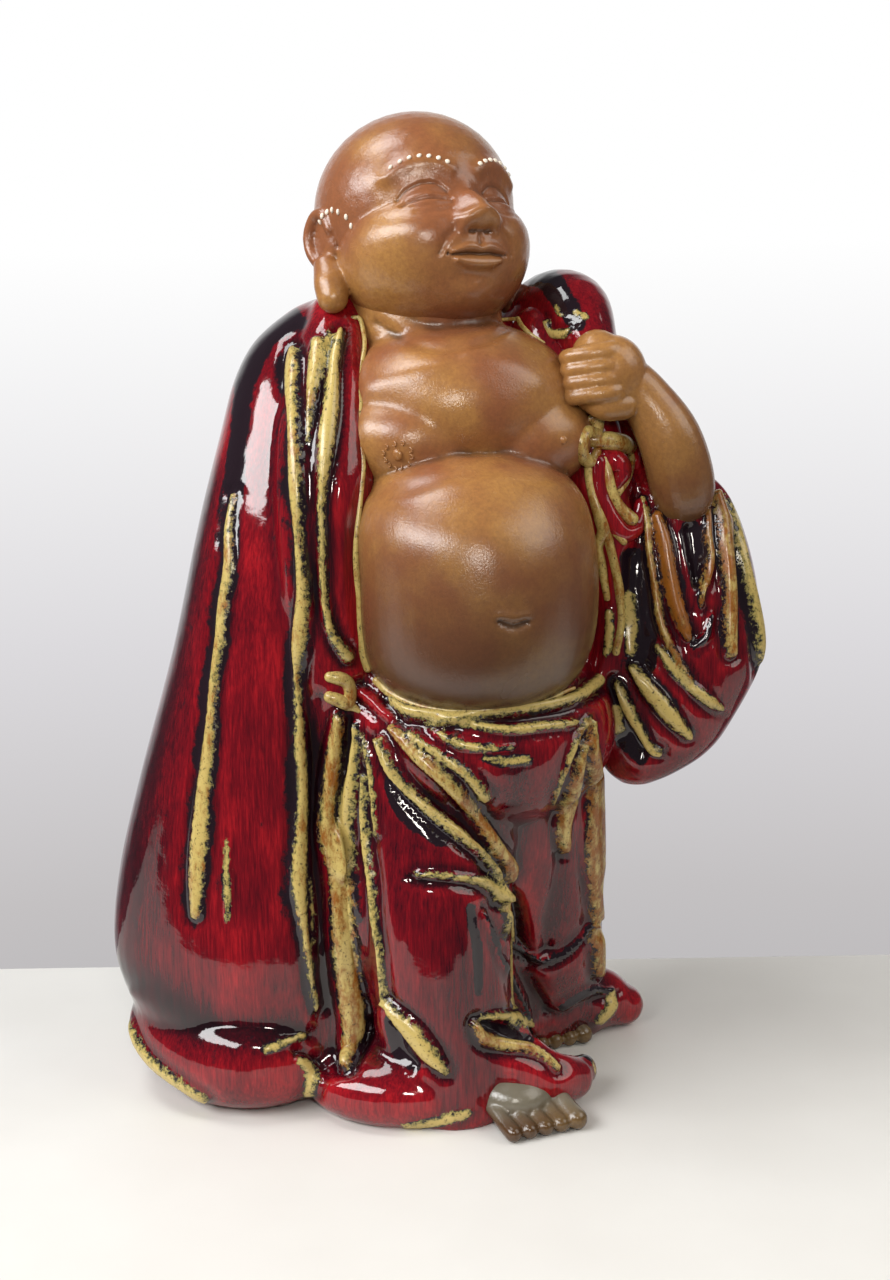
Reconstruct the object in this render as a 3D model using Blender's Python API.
"""Ceramic budai figure, about 330 mm tall: one hollow, fired and glazed piece.

The masses are modelled in millimetres in the front-quarter view, X to the right, Y away from the viewer and
Z up from the flat base. They are fused into one clay body, the folds are raised and pressed along routes
given as picture points, and the hollow is cut from below. The body is then turned to face -Y and centred on
its base, in metres.
"""
import math

import bmesh
import bpy
import numpy as np
from mathutils import Euler, Matrix, Vector
from mathutils.bvhtree import BVHTree

METRES_PER_MM = 0.001

# Front-quarter view: how far the figure is turned from facing the viewer
QUARTER_TURN = math.radians(33.4)

# Eye and picture of the front-quarter view, through which the fold routes are laid on the clay
EYE_HEIGHT = 241.5
EYE_DISTANCE = 536.0
LOOK_HEIGHT = 153.25
EYE_PITCH = math.atan2(EYE_HEIGHT - LOOK_HEIGHT, EYE_DISTANCE)
EYE_ROLL = math.radians(-0.92)
PICTURE_FOCAL = 1571.0
PICTURE_CENTRE = (445.0, 640.0)

# Robe body: height, centre right, centre back, half width, half depth
BODY_ROWS = (
    (-6, 4, 28, 52, 24),
    (0, 4, 28, 53, 25),
    (14, 3, 24, 54, 29),
    (40, 2, 16, 54, 36),
    (80, 1, 8, 54, 42),
    (120, 0, 5, 54, 45),
    (165, 0, 5, 55, 45),
    (205, -2, 8, 53, 40),
    (232, -2, 10, 50, 33),
    (250, -2, 11, 43, 27),
    (262, -4, 11, 28, 21),
)
# Cloak and long sleeve over the right arm
CLOAK_ROWS = (
    (4, -70, -2, 26, 26),
    (12, -70, -3, 38, 33),
    (27, -66, -4, 46, 38),
    (48, -62, -4, 56, 41),
    (76, -60, -4, 55, 41),
    (110, -58, -4, 48, 40),
    (153, -54, -4, 39, 38),
    (195, -50, -2, 33, 34),
    (225, -46, 2, 29, 30),
    (243, -43, 5, 27, 27),
    (256, -40, 8, 23, 23),
    (266, -37, 10, 14, 15),
    (270, -36, 10, 6, 6),
)
# Back of the robe, which joins the cloak to the body
BACK_ROWS = (
    (-6, -28, 16, 64, 30),
    (0, -28, 16, 65, 31),
    (30, -27, 15, 72, 35),
    (76, -26, 14, 74, 38),
    (130, -22, 12, 66, 38),
    (190, -15, 12, 57, 35),
    (232, -9, 12, 48, 28),
    (254, -6, 12, 36, 20),
)
# Turned-up end of the long sleeve, a fat roll on the base
SLEEVE_LOBE_POINTS = ((-108, 6, 30), (-101, -10, 21), (-84, -28, 17), (-67, -34, 17), (-52, -28, 16), (-44, -14, 14))
SLEEVE_LOBE_RADII = (6, 13, 16, 17, 15, 10)
# Robe edge and hanging column between the cloak and the bare chest, and the lapel on the other side
PANEL_POINTS = ((-33, -2, 262), (-36, -18, 240), (-37, -29, 215), (-38, -33, 190), (-38, -33, 165), (-37, -30, 145),
                (-38, -27, 100), (-38, -28, 60), (-38, -28, 22), (-38, -24, 8))
PANEL_RADII = (11, 15, 17, 16, 15, 15, 13, 12, 13, 13)
LAPEL_POINTS = ((34, 4, 256), (46, -3, 232), (53, -7, 205), (58, -8, 180), (58, -8, 155), (50, -8, 132))
LAPEL_RADII = (11, 12, 11, 9, 9, 10)
# Right leg under the skirt, the forward one
FRONT_LEG_POINTS = ((-12, -16, 128), (-6, -26, 95), (-6, -33, 70), (-4, -35, 40), (0, -36, 8))
FRONT_LEG_RADII = (34, 30, 27, 24, 22)
FRONT_HEM_CENTRE = (-16, -34, 10)
FRONT_HEM_RADII = (34, 26, 15)
INSTEP_CLOTH_POINTS = ((-4, -34, 34), (14, -40, 22), (30, -42, 13), (40, -36, 9))
INSTEP_CLOTH_RADII = (15, 13, 10, 8)
HEM_CORNER_POINTS = ((36, 22, 16), (54, 26, 12), (65, 28, 8))
HEM_CORNER_RADII = (16, 13, 8)
# Belt of cloth over the hips, and the bare belly above it
HIPS_CENTRE = (10, -16, 126)
HIPS_RADII = (48, 43, 34)
BODY_FACING = math.radians(15)
BELLY_CENTRE = (8.5, -30, 176)
BELLY_RADII = (41.5, 43, 40.5)
CHEST_CENTRE = (5, -5, 234)
CHEST_RADII = (42, 38, 28)
BREAST_OUT = 18
BREAST_FORWARD = 10
BREAST_HEIGHT = 223
BREAST_RADII = (26, 25, 19)
NECK_POINTS = ((-4, 6, 240), (-5, 4, 256), (-6, 2, 272))
NECK_RADII = (31, 27, 26)
# Left arm raised to the shoulder
SHOULDER_CENTRE = (44, 14, 240)
SHOULDER_RADII = (24, 24, 21)
UPPER_ARM_POINTS = ((48, 16, 240), (63, 13, 222), (77, 8, 203))
UPPER_ARM_RADII = (17, 13, 12)
FOREARM_POINTS = ((80, -4, 198), (80, -10, 206), (75, -14, 222), (66, -15, 236), (58, -16, 243))
FOREARM_RADII = (9, 11, 10.5, 8.5, 8)
# Hand closed on the sack's neck: back of the hand, heel of the palm and four fingers
HAND_BACK_POINTS = ((60, -15, 238), (56, -17, 245), (51, -17, 249))
HAND_BACK_RADII = (9, 10.5, 8.5)
PALM_HEEL_POINTS = ((59, -20, 233), (53, -22, 233), (47, -20, 235))
PALM_HEEL_RADII = (5, 5, 3.5)
FINGER_COUNT = 4
FINGER_ROOT = (53.5, -24, 250)
FINGER_STEP = (0.2, -0.4, -4.3)
FINGER_CURL = ((3, 3, 0.6), (0, 0, 0), (-6, -0.5, -0.6), (-12, 2, -1.4), (-13, 7, -1.8))
FINGER_RADII = (3.6, 3.4, 3.0, 2.8, 2.4)
# Wide sleeve hanging from the elbow
SLEEVE_ROWS = (
    (102, 71, -1, 5, 5),
    (106, 73, 0, 13, 12),
    (113, 76, 1, 21, 18),
    (123, 76, 2, 27, 23),
    (145, 78, 3, 33, 25),
    (165, 78, 4, 31, 24),
    (185, 78, 5, 27, 22),
    (202, 77, 6, 21, 18),
    (212, 74, 8, 14, 13),
)
# Cloth sack held over the left shoulder and hanging on the back
SACK_POINTS = ((51, -12, 250), (44, 6, 262), (38, 24, 257), (31, 37, 234), (26, 40, 204), (24, 38, 178))
SACK_RADII = (8, 15, 20, 28, 33, 29)
# Head: an egg of skull and jaw, turned and tilted back
HEAD_CENTRE = (-6, 2, 292)
HEAD_TURN = math.radians(30)
HEAD_TILT = math.radians(-13)
SKULL_CENTRE = (0, 3, 6)
SKULL_RADII = (33, 35, 32)
JAW_CENTRE = (0, -5, -12)
JAW_RADII = (32, 31, 25)
# Ears: flat shell, rolled rim and long lobe, given on the head as out from the middle, back and up
EAR_SHELL = (31.5, 8, -3.5)
EAR_SHELL_RADII = (2.4, 6.5, 9.0)
EAR_RIM = ((32.5, 2.5, -1), (33, 4.5, 4.5), (33.5, 9.5, 5.5), (34.5, 13.5, 1), (34.5, 13.5, -5), (33.5, 9.5, -11),
           (33, 5, -15))
EAR_RIM_RADII = (1.6, 1.9, 2.1, 2.1, 2.1, 2.2, 2.6)
EAR_LOBE = ((33, 7, -12), (33.5, 4.5, -18), (34, 3.5, -23))
EAR_LOBE_RADII = (4.4, 5.6, 5.2)
# Face relief on the head: place across, place up, half width, half height, depth
FACE_RELIEF = (
    (0, 9, 26, 4, 1.2),
    (0, -3, 4.5, 9, 4.2),
    (0, -8.5, 7.5, 4, 4.2),
    (-6, -9, 3.4, 3, 1.6),
    (6, -9, 3.4, 3, 1.6),
    (-14, 2, 6.5, 3.6, -2.6),
    (14, 2, 6.5, 3.6, -2.6),
    (-14, 2, 5.4, 2.2, 2.0),
    (14, 2, 5.4, 2.2, 2.0),
    (-18, -10, 9, 8, 1.6),
    (18, -10, 9, 8, 1.6),
    (0, -16.5, 10, 2.2, 2.2),
    (0, -18.6, 11, 1.0, -1.8),
    (0, -21, 8, 2.4, 2.2),
    (0, -30, 9, 5, 2.6),
)
FACE_REACH = 48
# Feet under the hem
FOOT_FACING = math.radians(31)
NEAR_FOOT_CENTRE = (18, -40, 8)
FAR_FOOT_CENTRE = (26, 27, 6)
FOOT_RADII = (16, 20, 10)
TOE_COUNT = 5
TOE_LINE_START = (-12.5, -17, 4)
TOE_LINE_STEP = (6.3, -1.2, 0.1)
TOE_RADIUS = 2.9
GREAT_TOE_GROWTH = 1.25
# One toe from its root on the instep to its tip: back from the toe line, height over the toe's radius, thickness
TOE_ROUTE = ((12, 5.0, 0.7), (4, 2.8, 0.85), (-3, 0.9, 0.95), (-8, 0.0, 1.05))
# Waist knot and the knot of the sack's cord, laid on the clay as rolls: picture points with radii in millimetres
WAIST_KNOT = ((354, 682, 2.0), (338, 678, 2.2), (330, 687, 2.2), (340, 695, 2.0), (352, 694, 2.4), (350, 706, 2.4),
              (336, 711, 2.0), (333, 722, 2.0))
KNOT_LOOP = ((597, 434, 1.6), (586, 431, 1.7), (580, 445, 1.7), (584, 459, 1.8), (594, 461, 1.6), (597, 451, 1.4))
KNOT_TOP = ((590, 419, 1.4), (598, 420, 1.9), (597, 430, 1.4))
KNOT_BAND = ((590, 441, 2.2), (608, 441, 3.0), (627, 446, 2.8))
KNOT_RIM = ((590, 414, 1.6), (606, 413, 2.0), (622, 421, 2.4), (635, 434, 2.4), (640, 452, 2.2), (636, 468, 1.6))
KNOT_CORD = ((629, 444, 0.9), (631, 462, 0.9), (625, 480, 0.9), (615, 495, 1.0))
KNOT_PAD = ((612, 456, 3.0), (617, 468, 3.4), (620, 482, 2.4))
KNOT_TONGUE = ((606, 458, 0.9), (609, 476, 1.5), (613, 495, 1.6), (620, 508, 1.7), (632, 519, 1.7))
KNOT_TAIL = ((589, 462, 1.6), (591, 478, 1.5), (595, 495, 1.6), (602, 518, 2.0), (606, 531, 1.9), (598, 545, 1.4),
             (602, 566, 1.3), (607, 598, 0.9))
KNOT_SECOND_TAIL = ((606, 530, 1.5), (611, 552, 1.3), (618, 580, 1.2), (621, 612, 1.0))
KNOT_SWEEP = ((604, 516, 1.2), (611, 527, 1.2), (624, 541, 0.9))
KNOT_RED_FOLD = ((598, 462, 2.6), (600, 490, 2.4), (610, 515, 2.6), (622, 530, 2.2), (634, 528, 2.4), (640, 505, 2.0))
ROLL_SINK = 0.4
# Folds as seen in the picture: picture points with half widths in picture points
CLOAK_EDGE = ((294, 350, 3), (293, 362, 5), (292, 390, 5), (294, 422, 5), (296, 484, 6), (298, 524, 4),
              (301, 565, 4), (303, 596, 6), (300, 640, 7), (298, 668, 4), (297, 690, 3), (299, 715, 4),
              (300, 746, 6), (303, 790, 6), (301, 840, 7), (299, 883, 8), (304, 926, 4), (309, 960, 3),
              (316, 1007, 2))
CLOAK_WEDGE = ((318, 343, 6), (313, 372, 6), (309, 410, 3), (306, 444, 1))
COLLAR_FOLD = ((340, 331, 3), (334, 358, 5), (331, 402, 7), (327, 433, 8), (323, 474, 5), (321, 504, 3),
               (322, 545, 3), (323, 586, 3), (327, 616, 3.5), (334, 638, 4), (348, 657, 5))
OUTER_FOLD = ((234, 496, 2), (229, 531, 4), (229, 565, 5), (223, 606, 5), (220, 640, 5), (214, 680, 4),
              (212, 714, 5), (208, 755, 6), (204, 790, 7), (200, 840, 9), (197, 880, 8), (196, 914, 5))
SLEEVE_UNDERCUT = ((118, 984, 14), (160, 1004, 15), (205, 1030, 16), (255, 1042, 15), (298, 1030, 12), (318, 1000, 8))
SLEEVE_LIP = ((116, 990, 3), (131, 1033, 4), (153, 1064, 4), (204, 1100, 4))
PANEL_GROOVE = ((318, 700, 8), (314, 780, 9), (316, 850, 9), (322, 930, 8), (326, 1000, 7), (330, 1070, 8))
RIBBON_BACK = ((338, 718, 5), (333, 762, 8), (327, 812, 7), (330, 838, 9), (343, 880, 10), (347, 942, 10),
               (352, 993, 10), (354, 1030, 8), (343, 1062, 4))
RIBBON_FRONT = ((355, 726, 2), (354, 756, 4), (349, 790, 6), (344, 830, 8), (345, 870, 9))
THREAD_FOLDS = (((361, 739, 1.5), (369, 774, 2.5), (375, 834, 1.5)),
                ((361, 776, 1.5), (362, 814, 2.5), (366, 848, 2.5), (371, 881, 3), (374, 918, 2.5), (380, 960, 2),
                 (383, 1000, 2)))
WAIST_WIDE = ((391, 700, 3), (409, 711, 5), (449, 716, 5), (488, 712, 4.5), (528, 708, 4.5), (560, 702, 4.5),
              (584, 692, 5), (604, 674, 6), (616, 650, 5), (620, 624, 4))
WAIST_SECOND = ((425, 725, 1.5), (457, 722, 3), (508, 729, 4), (543, 726, 4), (576, 722, 2.5))
WAIST_THIRD = ((431, 729, 1.5), (457, 743, 3.5), (482, 748, 3), (514, 747, 1))
SLANT_HIGH = ((408, 733, 3), (441, 757, 4), (468, 776, 4.5), (484, 796, 6))
SLANT_MIDDLE = ((391, 728, 4), (419, 757, 6), (449, 784, 6), (478, 818, 5), (496, 846, 5.5), (510, 866, 5),
                (511, 880, 3))
SLANT_LOW = ((379, 740, 3), (395, 774, 4.5), (425, 806, 5), (457, 832, 5), (486, 857, 3), (499, 877, 2),
             (507, 900, 4.5), (511, 922, 4.5), (514, 944, 2))
SLANT_SHADE = ((392, 782, 6), (412, 812, 12), (440, 838, 5))
HIP_FOLDS = (((591, 716, 1.5), (573, 752, 2.5), (553, 803, 1.5)),
             ((586, 745, 2), (574, 788, 5), (563, 822, 7), (565, 850, 4)),
             ((591, 722, 1.5), (594, 766, 5), (596, 822, 9), (594, 862, 9), (594, 892, 5), (597, 930, 5),
              (597, 972, 4)))
HIP_GROOVE = ((563, 858, 7), (560, 884, 9), (552, 920, 10), (548, 950, 8))
KNEE_FOLD = ((416, 874, 2), (452, 877, 2.5), (474, 880, 3), (490, 884, 5), (503, 898, 4))
SHIN_EDGE = ((485, 914, 1.5), (499, 946, 2), (514, 983, 2), (531, 1018, 1.5))
SHIN_GROOVE = ((514, 900, 6), (522, 940, 9), (532, 985, 9), (548, 1014, 6))
SWAG_FOLD = ((513, 950, 2), (540, 962, 2.5), (569, 950, 2.5), (592, 925, 2))
HEM_PATCH = ((386, 1003, 3), (411, 1030, 8), (430, 1054, 8), (446, 1071, 3))
HEM_GROOVE = ((388, 1020, 4), (398, 1050, 7), (414, 1068, 4))
INSTEP_LIP = ((477, 1026, 4), (485, 1038, 6), (506, 1044, 6), (527, 1047, 5), (545, 1056, 3), (558, 1068, 2.5))
INSTEP_UPPER = ((484, 1018, 2), (506, 1016, 4), (531, 1024, 4))
INSTEP_MOUTH = ((488, 1027, 3), (510, 1030, 5), (532, 1036, 4))
FAR_HEM_LINE = ((562, 1008, 3), (590, 992, 3), (611, 990, 2.5))
FAR_HEM_DROP = ((613, 994, 4), (611, 1007, 5), (600, 1020, 4))
SLEEVE_FIRST = ((643, 499, 2.5), (648, 526, 3.5), (650, 554, 3.5), (655, 584, 3.5), (659, 614, 4), (666, 637, 3.5),
                (679, 661, 2.5), (690, 678, 2))
SLEEVE_LOW_CREAM = ((658, 648, 3), (676, 671, 5), (693, 688, 5), (711, 702, 5), (720, 708, 3))
SLEEVE_RUST = ((657, 516, 5), (664, 542, 7), (668, 568, 7.5), (674, 598, 7.5), (684, 626, 6), (689, 638, 3))
SLEEVE_LOOP = ((709, 508, 2), (709, 533, 3), (712, 556, 3.5), (708, 576, 3.5), (703, 592, 2), (702, 606, 1))
SLEEVE_FOURTH = ((717, 494, 4), (726, 519, 7), (727, 545, 7), (729, 575, 6), (730, 603, 6), (730, 630, 6),
                 (731, 652, 5))
SLEEVE_FIFTH = ((632, 668, 3), (646, 686, 7), (661, 704, 8), (674, 720, 7), (688, 735, 4))
SLEEVE_SIXTH = ((617, 684, 3), (627, 706, 5), (638, 728, 5), (650, 748, 4), (659, 752, 3))
SLEEVE_SHADE = ((626, 740, 12), (641, 756, 6))
SLEEVE_EDGE = ((735, 500, 2.5), (745, 561, 3), (753, 597, 3.5), (759, 628, 3.5), (762, 656, 3), (764, 680, 2))
SLEEVE_TOP = ((714, 458, 2.5), (728, 486, 3), (736, 502, 3.5))
SLEEVE_BOWL = ((692, 530, 8), (696, 556, 7), (700, 582, 5))
SLEEVE_DRAPE = ((712, 616, 2), (706, 637, 3), (694, 646, 3))
LAPEL_SHADE = ((634, 560, 10), (640, 620, 14), (645, 664, 8))
BREAST_CREASE = ((372, 492, 7), (410, 487, 8), (450, 475, 7), (500, 470, 7), (562, 474, 7))
# Front folds: route, height in millimetres, and depth of the groove on its left and its right
FRONT_FOLDS = (
    (CLOAK_EDGE, 2.6, (0.8, 1.6)),
    (CLOAK_WEDGE, 1.4, (0.2, 0.6)),
    (COLLAR_FOLD, 2.0, (1.4, 1.2)),
    (OUTER_FOLD, 1.5, (1.0, 0.4)),
    (SLEEVE_UNDERCUT, -8.0, (0.0, 0.0)),
    (SLEEVE_LIP, 1.4, (0.6, 0.6)),
    (PANEL_GROOVE, -3.4, (0.0, 0.0)),
    (RIBBON_BACK, 3.0, (1.2, 1.6)),
    (RIBBON_FRONT, 2.2, (0.6, 0.8)),
    (THREAD_FOLDS[0], 1.4, (0.6, 0.6)),
    (THREAD_FOLDS[1], 1.8, (0.8, 0.8)),
    (WAIST_WIDE, 2.8, (1.4, 0.6)),
    (WAIST_SECOND, 1.8, (0.6, 0.8)),
    (WAIST_THIRD, 1.4, (0.4, 0.4)),
    (SLANT_HIGH, 2.0, (0.6, 0.8)),
    (SLANT_MIDDLE, 3.0, (1.0, 1.0)),
    (SLANT_LOW, 3.2, (1.4, 1.2)),
    (SLANT_SHADE, -1.2, (0.0, 0.0)),
    (HIP_FOLDS[0], 1.6, (0.4, 0.4)),
    (HIP_FOLDS[1], 2.4, (0.8, 0.6)),
    (HIP_FOLDS[2], 3.2, (0.8, 0.4)),
    (HIP_GROOVE, -3.0, (0.0, 0.0)),
    (KNEE_FOLD, 1.8, (1.6, 0.6)),
    (SHIN_EDGE, 1.8, (0.6, 2.0)),
    (SHIN_GROOVE, -5.0, (0.0, 0.0)),
    (SWAG_FOLD, 2.2, (2.4, 0.4)),
    (HEM_PATCH, 3.0, (1.2, 0.6)),
    (HEM_GROOVE, -3.0, (0.0, 0.0)),
    (INSTEP_LIP, 2.2, (1.2, 1.6)),
    (INSTEP_UPPER, 1.6, (0.4, 0.4)),
    (INSTEP_MOUTH, -3.4, (0.0, 0.0)),
    (FAR_HEM_LINE, 1.6, (1.2, 0.4)),
    (FAR_HEM_DROP, 1.2, (0.0, 0.0)),
    (SLEEVE_FIRST, 2.6, (1.2, 0.8)),
    (SLEEVE_LOW_CREAM, 1.6, (1.0, 0.4)),
    (SLEEVE_RUST, 3.0, (0.8, 1.4)),
    (SLEEVE_LOOP, 2.0, (0.8, 0.8)),
    (SLEEVE_FOURTH, 2.8, (1.0, 1.4)),
    (SLEEVE_FIFTH, 2.8, (1.2, 1.2)),
    (SLEEVE_SIXTH, 2.8, (1.4, 1.0)),
    (SLEEVE_SHADE, -3.0, (0.0, 0.0)),
    (SLEEVE_EDGE, 1.6, (1.2, 0.0)),
    (SLEEVE_TOP, 1.6, (0.8, 0.0)),
    (SLEEVE_BOWL, -3.4, (0.0, 0.0)),
    (SLEEVE_DRAPE, 1.4, (0.6, 0.6)),
    (LAPEL_SHADE, -3.0, (0.0, 0.0)),
    (BREAST_CREASE, -0.8, (0.0, 0.0)),
)
# Folds of the hidden back, seen from behind: millimetres to the right, minus the height, half width
BACK_SWEEP = ((40, -246, 2), (52, -200, 4), (58, -150, 5), (72, -95, 5), (88, -45, 6), (92, -20, 4))
BACK_LONG = ((10, -236, 2), (22, -190, 4), (34, -140, 5), (44, -90, 5), (50, -40, 6), (50, -8, 5))
BACK_MIDDLE = ((-2, -190, 2), (6, -140, 4), (14, -90, 5), (16, -45, 5), (14, -8, 5))
BACK_LOW = ((-18, -150, 2), (-16, -105, 3.5), (-18, -60, 4.5), (-20, -8, 4.5))
BACK_SHORT = ((-38, -130, 2), (-40, -90, 3), (-46, -50, 4), (-48, -10, 4))
BACK_CLOAK = ((96, -150, 2), (104, -105, 4), (108, -60, 4), (104, -30, 3))
BACK_SLEEVE_INNER = ((-64, -196, 2), (-67, -160, 3.5), (-62, -116, 3))
BACK_SLEEVE_OUTER = ((-80, -196, 2), (-88, -160, 3.5), (-86, -122, 2.5))
BACK_SACK_RIGHT = ((-36, -262, 2), (-24, -236, 3), (-8, -204, 2.5))
BACK_SACK_MIDDLE = ((-40, -262, 2), (-36, -232, 3), (-32, -190, 2.5))
BACK_SACK_LEFT = ((-44, -260, 2), (-51, -234, 3), (-54, -202, 2.5))
BACK_FOLDS = (
    (BACK_SWEEP, 2.8, (2.2, 1.4)),
    (BACK_LONG, 3.0, (1.8, 1.8)),
    (BACK_MIDDLE, 2.6, (1.6, 1.6)),
    (BACK_LOW, 2.4, (1.6, 1.6)),
    (BACK_SHORT, 2.2, (1.6, 1.4)),
    (BACK_CLOAK, 2.2, (1.4, 1.4)),
    (BACK_SLEEVE_INNER, 2.2, (1.4, 1.4)),
    (BACK_SLEEVE_OUTER, 2.2, (1.4, 1.4)),
    (BACK_SACK_RIGHT, 1.8, (1.4, 1.2)),
    (BACK_SACK_MIDDLE, 2.0, (1.4, 1.4)),
    (BACK_SACK_LEFT, 1.8, (1.2, 1.4)),
)
# Width of the grooves beside a fold, in the units of its route, and the tilt at which folds fade out of a view
GROOVE_WIDTH = 5.0
FADE_FACING = 0.25
LEAST_HALF_WIDTH = 0.5
# Hollow of the casting, open below: height, centre right, centre back, half width, half depth
HOLLOW_ROWS = (
    (-10, -24, 17, 46, 18),
    (12, -24, 17, 48, 20),
    (40, -24, 14, 54, 24),
    (80, -24, 8, 56, 30),
    (125, -18, 4, 52, 34),
    (175, -4, -2, 42, 32),
    (210, -2, 6, 36, 22),
    (236, -3, 9, 24, 12),
)
# Fineness of the clay surface
VOXEL_SIZE = 1.5
SMOOTH_COUNT = 5
KEPT_SHARE = 0.0375
RING_SIDES = 40
LIMB_SIDES = 18
SPAN_STEPS = 6
ROLL_STEPS = 2
# Ground block that trims the base flat, as a multiple of the figure's longest side
GROUND_MARGIN = 2.0

GLAZE_COLOUR = (0.135, 0.006, 0.012, 1.0)
GLAZE_ROUGHNESS = 0.12


def clear_scene():
    """Empty the scene of its starting objects."""
    for item in list(bpy.data.objects):
        bpy.data.objects.remove(item, do_unlink=True)


def smooth_path(rows, steps):
    """Points along a Catmull-Rom curve through rows of numbers."""
    rows = np.array(rows, dtype=float)
    padded = np.vstack((2 * rows[0] - rows[1], rows, 2 * rows[-1] - rows[-2]))
    path = []
    for first in range(len(rows) - 1):
        before, start, end, after = padded[first:first + 4]
        for step in range(steps):
            t = step / steps
            path.append(0.5 * (2 * start + (end - before) * t
                               + (2 * before - 5 * start + 4 * end - after) * t ** 2
                               + (3 * start - before - 3 * end + after) * t ** 3))
    path.append(rows[-1])
    return np.array(path).tolist()


def skin_rings(clay, rings):
    """Join rings of points into one closed shape with flat end caps."""
    loops = [[clay.verts.new(point) for point in ring] for ring in rings]
    count = len(loops[0])
    for lower, upper in zip(loops, loops[1:]):
        for side in range(count):
            after = (side + 1) % count
            clay.faces.new((lower[side], lower[after], upper[after], upper[side]))
    clay.faces.new(list(reversed(loops[0])))
    clay.faces.new(loops[-1])


def add_loft(clay, rows):
    """Upright form through elliptical rows."""
    rings = []
    for height, right, back, half_width, half_depth in smooth_path(rows, SPAN_STEPS):
        ring = []
        for side in range(RING_SIDES):
            angle = 2 * math.pi * side / RING_SIDES
            ring.append((right + half_width * math.cos(angle), back + half_depth * math.sin(angle), height))
        rings.append(ring)
    skin_rings(clay, rings)


def add_ball(clay, centre, radii, turn=0.0, tilt=0.0):
    """Ellipsoid, turned about the vertical after being tilted about its own width."""
    place = Matrix.Translation(centre) @ Euler((tilt, 0.0, turn)).to_matrix().to_4x4() @ Matrix.Diagonal((*radii, 1.0))
    bmesh.ops.create_icosphere(clay, subdivisions=4, radius=1.0, matrix=place)


def add_limb(clay, points, radii):
    """Round limb of changing thickness, with domed ends."""
    rows = smooth_path([(*point, radius) for point, radius in zip(points, radii)], SPAN_STEPS)
    centres = [Vector(row[:3]) for row in rows]
    ahead = [(centres[min(i + 1, len(rows) - 1)] - centres[max(i - 1, 0)]).normalized() for i in range(len(rows))]
    across = ahead[0].orthogonal().normalized()
    stations = []
    for centre, direction, row in zip(centres, ahead, rows):
        across = (across - direction * across.dot(direction)).normalized()
        stations.append((centre, direction, across.copy(), row[3]))
    dome = [math.radians(angle) for angle in (75, 50, 25)]
    first, last = stations[0], stations[-1]
    opening = [(first[0] - first[1] * first[3] * math.sin(a), first[1], first[2], first[3] * math.cos(a)) for a in dome]
    closing = [(last[0] + last[1] * last[3] * math.sin(a), last[1], last[2], last[3] * math.cos(a))
               for a in reversed(dome)]
    rings = []
    for centre, direction, side_axis, radius in opening + stations + closing:
        up_axis = direction.cross(side_axis)
        ring = []
        for side in range(LIMB_SIDES):
            angle = 2 * math.pi * side / LIMB_SIDES
            ring.append(centre + radius * (math.cos(angle) * side_axis + math.sin(angle) * up_axis))
        rings.append(ring)
    skin_rings(clay, rings)


def picture_axes():
    """Eye, sight line, right and up of the front-quarter view."""
    ahead = Vector((0.0, math.cos(EYE_PITCH), -math.sin(EYE_PITCH)))
    level = Vector((1.0, 0.0, 0.0))
    upright = level.cross(ahead)
    right = math.cos(EYE_ROLL) * level + math.sin(EYE_ROLL) * upright
    up = -math.sin(EYE_ROLL) * level + math.cos(EYE_ROLL) * upright
    return Vector((0.0, -EYE_DISTANCE, EYE_HEIGHT)), ahead, right, up


def picture_hit(surface, x, y):
    """Where the sight line through a picture point meets the surface, or the surface's nearest point to it."""
    eye, ahead, right, up = picture_axes()
    across = (x - PICTURE_CENTRE[0]) / PICTURE_FOCAL
    rise = (PICTURE_CENTRE[1] - y) / PICTURE_FOCAL
    direction = (ahead + across * right + rise * up).normalized()
    hit, normal = surface.ray_cast(eye, direction)[:2]
    if hit is None:
        hit, normal = surface.find_nearest(eye + direction * (EYE_DISTANCE / direction.y))[:2]
    return hit, normal


def facing(angle, out, forward):
    """Step sideways and forwards for a body that faces an angle right of the viewer."""
    return (out * math.cos(angle) + forward * math.sin(angle), out * math.sin(angle) - forward * math.cos(angle))


def add_robe(clay):
    """Robe body, cloak, skirt, long right sleeve and wide left sleeve."""
    add_loft(clay, BODY_ROWS)
    add_loft(clay, CLOAK_ROWS)
    add_loft(clay, BACK_ROWS)
    add_limb(clay, SLEEVE_LOBE_POINTS, SLEEVE_LOBE_RADII)
    add_limb(clay, PANEL_POINTS, PANEL_RADII)
    add_limb(clay, LAPEL_POINTS, LAPEL_RADII)
    add_limb(clay, FRONT_LEG_POINTS, FRONT_LEG_RADII)
    add_limb(clay, INSTEP_CLOTH_POINTS, INSTEP_CLOTH_RADII)
    add_ball(clay, FRONT_HEM_CENTRE, FRONT_HEM_RADII)
    add_limb(clay, HEM_CORNER_POINTS, HEM_CORNER_RADII)
    add_ball(clay, HIPS_CENTRE, HIPS_RADII, BODY_FACING)
    add_ball(clay, SHOULDER_CENTRE, SHOULDER_RADII)
    add_limb(clay, UPPER_ARM_POINTS, UPPER_ARM_RADII)
    add_loft(clay, SLEEVE_ROWS)


def add_torso(clay):
    """Bare chest, breasts, belly and neck."""
    add_ball(clay, BELLY_CENTRE, BELLY_RADII, BODY_FACING)
    add_ball(clay, CHEST_CENTRE, CHEST_RADII, BODY_FACING)
    for out in (-BREAST_OUT, BREAST_OUT):
        right, back = facing(BODY_FACING, out, BREAST_FORWARD)
        place = (CHEST_CENTRE[0] + right, CHEST_CENTRE[1] + back, BREAST_HEIGHT)
        add_ball(clay, place, BREAST_RADII, BODY_FACING)
    add_limb(clay, NECK_POINTS, NECK_RADII)


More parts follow.
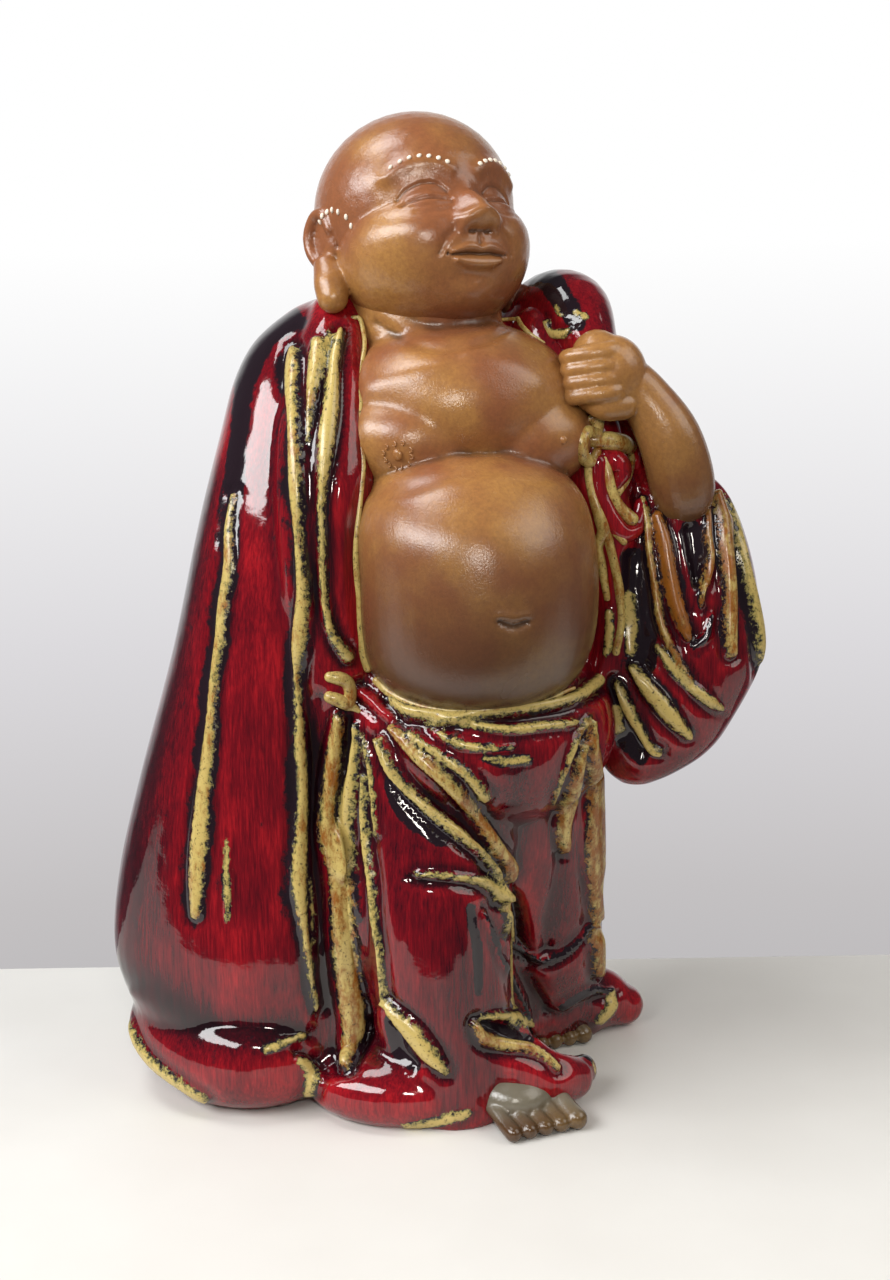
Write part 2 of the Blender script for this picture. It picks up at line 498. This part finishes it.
def add_sack(clay):
    """Cloth sack from the fist over the shoulder to the back."""
    add_limb(clay, SACK_POINTS, SACK_RADII)


def add_arm(clay):
    """Left forearm, hand and fingers closed on the sack's neck."""
    add_limb(clay, FOREARM_POINTS, FOREARM_RADII)
    add_limb(clay, HAND_BACK_POINTS, HAND_BACK_RADII)
    add_limb(clay, PALM_HEEL_POINTS, PALM_HEEL_RADII)
    for finger in range(FINGER_COUNT):
        knuckle = Vector(FINGER_ROOT) + finger * Vector(FINGER_STEP)
        add_limb(clay, [knuckle + Vector(step) for step in FINGER_CURL], FINGER_RADII)


def head_place():
    """Placement of the head in the figure."""
    return Matrix.Translation(HEAD_CENTRE) @ Euler((HEAD_TILT, 0.0, HEAD_TURN)).to_matrix().to_4x4()


def add_head(clay):
    """Bald head and its long-lobed ears."""
    place = head_place()
    add_ball(clay, place @ Vector(SKULL_CENTRE), SKULL_RADII, HEAD_TURN, HEAD_TILT)
    add_ball(clay, place @ Vector(JAW_CENTRE), JAW_RADII, HEAD_TURN, HEAD_TILT)
    for side in (-1, 1):
        out, back, up = EAR_SHELL
        add_ball(clay, place @ Vector((side * out, back, up)), EAR_SHELL_RADII, HEAD_TURN, HEAD_TILT)
        for route, radii in ((EAR_RIM, EAR_RIM_RADII), (EAR_LOBE, EAR_LOBE_RADII)):
            points = [place @ Vector((side * out, back, up)) for out, back, up in route]
            add_limb(clay, points, radii)


def add_foot(clay, centre):
    """Bare foot: instep and five toes, the great toe on the inner side."""
    add_ball(clay, centre, FOOT_RADII, FOOT_FACING)
    turn = Matrix.Translation(centre) @ Matrix.Rotation(FOOT_FACING, 4, "Z")
    for toe in range(TOE_COUNT):
        radius = TOE_RADIUS * (GREAT_TOE_GROWTH if toe == TOE_COUNT - 1 else 1.0)
        root = Vector(TOE_LINE_START) + toe * Vector(TOE_LINE_STEP)
        root.z = radius - centre[2]
        points = [turn @ (root + Vector((0.0, back, up))) for back, up, _ in TOE_ROUTE]
        add_limb(clay, points, [radius * share for _, _, share in TOE_ROUTE])


def add_rolls(clay):
    """Waist knot and the cord's knot, laid on the clay as rolls."""
    surface = BVHTree.FromBMesh(clay)
    for route in (WAIST_KNOT, KNOT_LOOP, KNOT_TOP, KNOT_BAND, KNOT_RIM, KNOT_CORD, KNOT_PAD, KNOT_TONGUE, KNOT_TAIL,
                  KNOT_SECOND_TAIL, KNOT_SWEEP, KNOT_RED_FOLD):
        points, radii = [], []
        for x, y, radius in smooth_path(route, ROLL_STEPS):
            hit, normal = picture_hit(surface, x, y)
            points.append(hit - normal * ROLL_SINK)
            radii.append(radius)
        add_limb(clay, points, radii)


def object_from(clay, name):
    """New object holding the clay."""
    mesh = bpy.data.meshes.new(name)
    clay.to_mesh(mesh)
    clay.free()
    item = bpy.data.objects.new(name, mesh)
    bpy.context.scene.collection.objects.link(item)
    return item


def fuse(clay):
    """One skin around all the overlapping masses, with its joins smoothed."""
    rough = object_from(clay, "rough_clay")
    remesh = rough.modifiers.new("fuse", "REMESH")
    remesh.mode = "VOXEL"
    remesh.voxel_size = VOXEL_SIZE
    smooth = rough.modifiers.new("soften", "SMOOTH")
    smooth.factor = 0.5
    smooth.iterations = SMOOTH_COUNT
    graph = bpy.context.evaluated_depsgraph_get()
    fused = bpy.data.meshes.new_from_object(rough.evaluated_get(graph))
    bpy.data.objects.remove(rough, do_unlink=True)
    return fused


def as_array(items, field):
    """One three-number field of all the items as an array."""
    flat = np.empty(len(items) * 3, dtype=np.float32)
    items.foreach_get(field, flat)
    return flat.reshape(-1, 3).astype(float)


def seen_in_picture(points, normals):
    """Picture place of each point, and how far it faces the eye."""
    eye, ahead, right, up = picture_axes()
    offset = points - np.array(eye)
    depth = offset @ np.array(ahead)
    across = PICTURE_CENTRE[0] + PICTURE_FOCAL * (offset @ np.array(right)) / depth
    down = PICTURE_CENTRE[1] - PICTURE_FOCAL * (offset @ np.array(up)) / depth
    away = offset / np.linalg.norm(offset, axis=1)[:, None]
    turned = np.clip(-(away * normals).sum(axis=1) / FADE_FACING, 0.0, 1.0)
    return np.column_stack((across, down)), turned


def seen_from_behind(points, normals):
    """The same for a straight view from behind, in millimetres."""
    turned = np.clip(normals[:, 1] / FADE_FACING, 0.0, 1.0)
    return np.column_stack((-points[:, 0], -points[:, 2])), turned


def read_route(places, route):
    """Signed distance from each place to a route, plus on its right hand looking down it, and the half width there."""
    rows = np.array(smooth_path(route, SPAN_STEPS))
    nearest = np.full(len(places), np.inf)
    offset = np.zeros(len(places))
    half = np.ones(len(places))
    for start, end in zip(rows, rows[1:]):
        along = end[:2] - start[:2]
        away = places - start[:2]
        share = np.clip(away @ along / max(along @ along, 1e-9), 0.0, 1.0)
        gap = away - share[:, None] * along
        distance = np.hypot(gap[:, 0], gap[:, 1])
        closer = distance < nearest
        side = np.sign(along[1] * gap[:, 0] - along[0] * gap[:, 1])
        nearest = np.where(closer, distance, nearest)
        offset = np.where(closer, distance * side, offset)
        half = np.where(closer, start[2] + share * (end[2] - start[2]), half)
    return offset, np.maximum(half, LEAST_HALF_WIDTH)


def press_folds(mesh):
    """How far each point moves out for the ridges and in for the valleys, with the points and their normals."""
    points = as_array(mesh.vertices, "co")
    normals = as_array(mesh.vertex_normals, "vector")
    moved = np.zeros(len(points))
    for view, folds in ((seen_in_picture, FRONT_FOLDS), (seen_from_behind, BACK_FOLDS)):
        places, turned = view(points, normals)
        for route, height, grooves in folds:
            rows = np.array(route, dtype=float)
            reach = 3 * (rows[:, 2].max() + GROOVE_WIDTH)
            low, high = rows[:, :2].min(axis=0) - reach, rows[:, :2].max(axis=0) + reach
            near = np.nonzero((turned > 0) & (places > low).all(axis=1) & (places < high).all(axis=1))[0]
            offset, half = read_route(places[near], route)
            out = height * np.exp(-(offset / half) ** 2)
            for side, depth in zip((-1, 1), grooves):
                out -= depth * np.exp(-((side * offset - half - GROOVE_WIDTH) / GROOVE_WIDTH) ** 2)
            moved[near] += out * turned[near]
    return points, normals, moved


def press_face(points, moved):
    """Raise and press the face on the front of the head."""
    to_head = np.array(head_place().inverted())
    local = points @ to_head[:3, :3].T + to_head[:3, 3]
    front = (local[:, 1] < 0) & (np.abs(local[:, 0]) < SKULL_RADII[0]) & (np.abs(local[:, 2]) < FACE_REACH)
    for across, up, half_width, half_height, depth in FACE_RELIEF:
        spread = ((local[:, 0] - across) / half_width) ** 2 + ((local[:, 2] - up) / half_height) ** 2
        moved += np.where(front, depth * np.exp(-spread), 0.0)


def cut_with(body, name, clay, shift):
    """Take a hidden shape away from the body."""
    bmesh.ops.recalc_face_normals(clay, faces=clay.faces)
    cutter = object_from(clay, name)
    place_mesh(cutter.data, shift)
    cutter.display_type = "WIRE"
    cutter.hide_render = True
    cut = body.modifiers.new(name, "BOOLEAN")
    cut.operation = "DIFFERENCE"
    cut.object = cutter


def place_mesh(mesh, shift):
    """Turn the clay to face -Y, centre it and go to metres."""
    mesh.transform(Matrix.Scale(METRES_PER_MM, 4) @ Matrix.Translation(shift) @ Matrix.Rotation(-QUARTER_TURN, 4, "Z"))


def main():
    """Build the figure."""
    clear_scene()
    clay = bmesh.new()
    add_robe(clay)
    add_torso(clay)
    add_sack(clay)
    add_arm(clay)
    add_head(clay)
    for centre in (NEAR_FOOT_CENTRE, FAR_FOOT_CENTRE):
        add_foot(clay, centre)
    add_rolls(clay)
    mesh = fuse(clay)
    points, normals, moved = press_folds(mesh)
    press_face(points, moved)
    points += normals * moved[:, None]
    mesh.vertices.foreach_set("co", points.astype(np.float32).ravel())
    mesh.update()

    turned = points @ np.array(Matrix.Rotation(-QUARTER_TURN, 3, "Z")).T
    middle = (turned.min(axis=0) + turned.max(axis=0)) / 2
    shift = Vector((-middle[0], -middle[1], 0.0))
    place_mesh(mesh, shift)
    figure = bpy.data.objects.new("budai_figure", mesh)
    bpy.context.scene.collection.objects.link(figure)
    thin = figure.modifiers.new("thin", "DECIMATE")
    thin.ratio = KEPT_SHARE

    ground_size = GROUND_MARGIN * np.ptp(points, axis=0).max()
    ground = bmesh.new()
    bmesh.ops.create_cube(ground, size=ground_size, matrix=Matrix.Translation((0, 0, -ground_size / 2)))
    hollow = bmesh.new()
    add_loft(hollow, HOLLOW_ROWS)
    cut_with(figure, "ground_cut", ground, shift)
    cut_with(figure, "hollow_cut", hollow, shift)

    glaze = bpy.data.materials.new("flambe_red_glaze")
    glaze.use_nodes = True
    shader = glaze.node_tree.nodes["Principled BSDF"]
    shader.inputs["Base Color"].default_value = GLAZE_COLOUR
    shader.inputs["Roughness"].default_value = GLAZE_ROUGHNESS
    figure.data.materials.append(glaze)
    figure.data.shade_smooth()


main()
